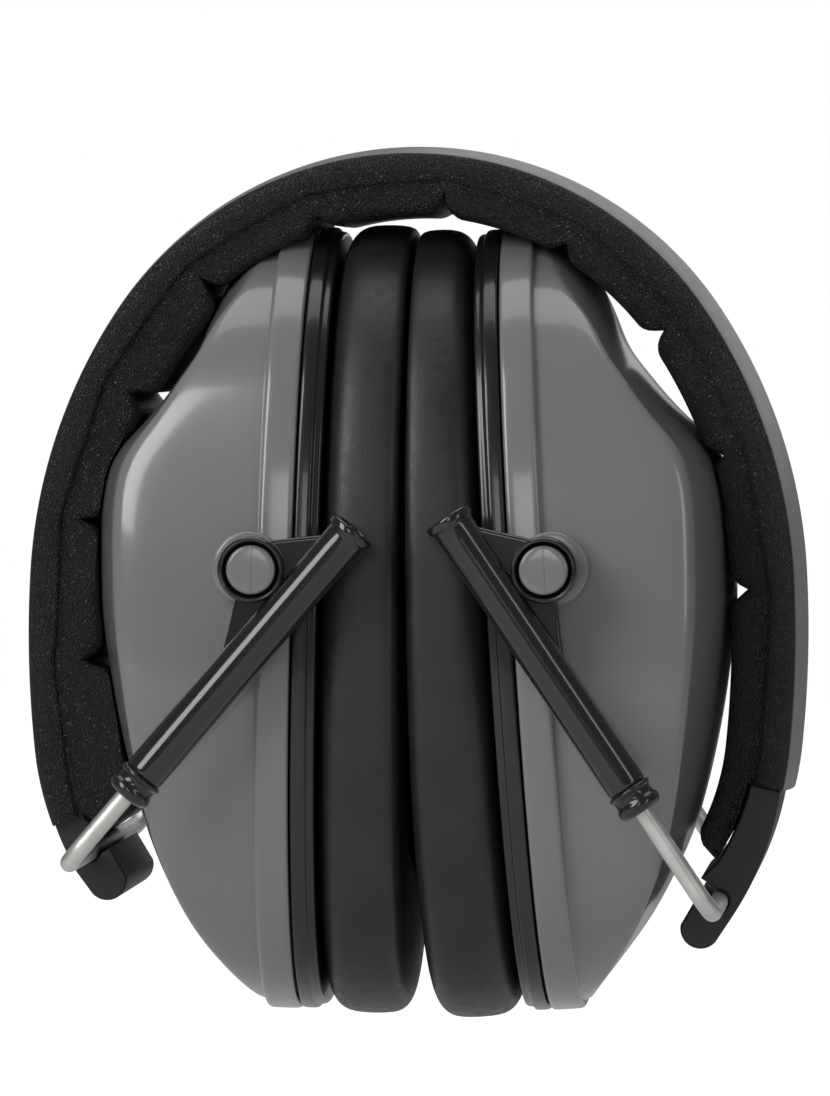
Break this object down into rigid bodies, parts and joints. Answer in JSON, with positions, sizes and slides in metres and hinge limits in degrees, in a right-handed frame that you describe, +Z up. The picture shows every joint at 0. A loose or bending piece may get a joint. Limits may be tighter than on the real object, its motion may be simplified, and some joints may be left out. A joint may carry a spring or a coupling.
{
  "type": "folding earmuff hearing protector",
  "caption": "Folding hearing-protection earmuff with padded sprung headband, wire yokes in sliding sleeves and sealed cups, shown folded.",
  "frame": {"origin": "middle of the crown pad's inner face, where the top of the wearer's head bears", "axes": "+Z up out of the headband's crown, +X towards the right-hand cup as seen from the front, +Y to the back"},
  "size_m": [0.1014, 0.0928, 0.1132],
  "materials": {
    "band_cover": "satin",
    "spring": "satin",
    "padding": "leather grain",
    "band_end": "matte",
    "wire": "satin",
    "sleeve": "gloss",
    "bush": "gloss",
    "cup": "gloss",
    "seal_plate": "gloss",
    "damping_foam": "open-cell foam",
    "cushion_foam": "foam",
    "cushion_cover": "satin"
  },
  "bodies": {
    "crown": {"crown_cover": "band_cover", "crown_spring": "spring", "crown_padding": "padding"},
    "left_band": {"left_cover": "band_cover", "left_spring": "spring", "left_padding": "padding", "left_band_end": "band_end"},
    "left_yoke": {"left_wire_yoke": "wire"},
    "left_sleeves": {"left_front_sleeve": "sleeve", "left_rear_sleeve": "sleeve", "left_front_bush": "bush", "left_rear_bush": "bush"},
    "left_cup": {"left_cup_shell": "cup", "left_seal_plate": "seal_plate", "left_damping_foam": "damping_foam", "left_cushion_foam": "cushion_foam", "left_cushion_cover": "cushion_cover"},
    "right_band": {"right_cover": "band_cover", "right_spring": "spring", "right_padding": "padding", "right_band_end": "band_end"},
    "right_yoke": {"right_wire_yoke": "wire"},
    "right_sleeves": {"right_front_sleeve": "sleeve", "right_rear_sleeve": "sleeve", "right_front_bush": "bush", "right_rear_bush": "bush"},
    "right_cup": {"right_cup_shell": "cup", "right_seal_plate": "seal_plate", "right_damping_foam": "damping_foam", "right_cushion_foam": "cushion_foam", "right_cushion_cover": "cushion_cover"}
  },
  "joints": [
    {"name": "left_flex", "type": "hinge", "parent": "crown", "child": "left_band", "pos_m": [-0.03174, 0, -0.00327], "axis": [0, 1, 0], "range_deg": [0, 42], "deforming": ["left_padding", "crown_padding"]},
    {"name": "left_fold", "type": "hinge", "parent": "left_band", "child": "left_yoke", "pos_m": [-0.0419, 0, -0.08236], "axis": [0, 1, 0], "range_deg": [0, 102], "deforming": ["left_cushion_cover", "left_cushion_foam", "right_cushion_cover", "right_cushion_foam"]},
    {"name": "left_slide", "type": "slide", "parent": "left_yoke", "child": "left_sleeves", "axis": [0.65, 0, 0.7599], "range_m": [0, 0.01]},
    {"name": "left_cup_pivot", "type": "hinge", "parent": "left_sleeves", "child": "left_cup", "pos_m": [-0.0185, 0, -0.045], "axis": [0, 1, 0], "range_deg": [-144, 0]},
    {"name": "right_flex", "type": "hinge", "parent": "crown", "child": "right_band", "pos_m": [0.02372, 0, 0.00266], "axis": [0, -1, 0], "range_deg": [0, 42], "deforming": ["right_padding", "crown_padding"]},
    {"name": "right_fold", "type": "hinge", "parent": "right_band", "child": "right_yoke", "pos_m": [0.03968, 0, -0.08829], "axis": [0, -1, 0], "range_deg": [0, 102], "deforming": ["left_cushion_cover", "left_cushion_foam", "right_cushion_cover", "right_cushion_foam"]},
    {"name": "right_slide", "type": "slide", "parent": "right_yoke", "child": "right_sleeves", "axis": [-0.5566, 0, 0.8308], "range_m": [0, 0.01]},
    {"name": "right_cup_pivot", "type": "hinge", "parent": "right_sleeves", "child": "right_cup", "pos_m": [0.0185, 0, -0.045], "axis": [0, -1, 0], "range_deg": [-144, 0]}
  ],
  "couplings": [
    {"joint": "left_flex", "follows": "left_fold", "ratio": 0.41176},
    {"joint": "left_slide", "follows": "left_fold", "m_per_rad": 0.0056172},
    {"joint": "left_cup_pivot", "follows": "left_fold", "ratio": -1.4118},
    {"joint": "right_flex", "follows": "right_fold", "ratio": 0.41176},
    {"joint": "right_slide", "follows": "right_fold", "m_per_rad": 0.0056172},
    {"joint": "right_cup_pivot", "follows": "right_fold", "ratio": -1.4118}
  ]
}
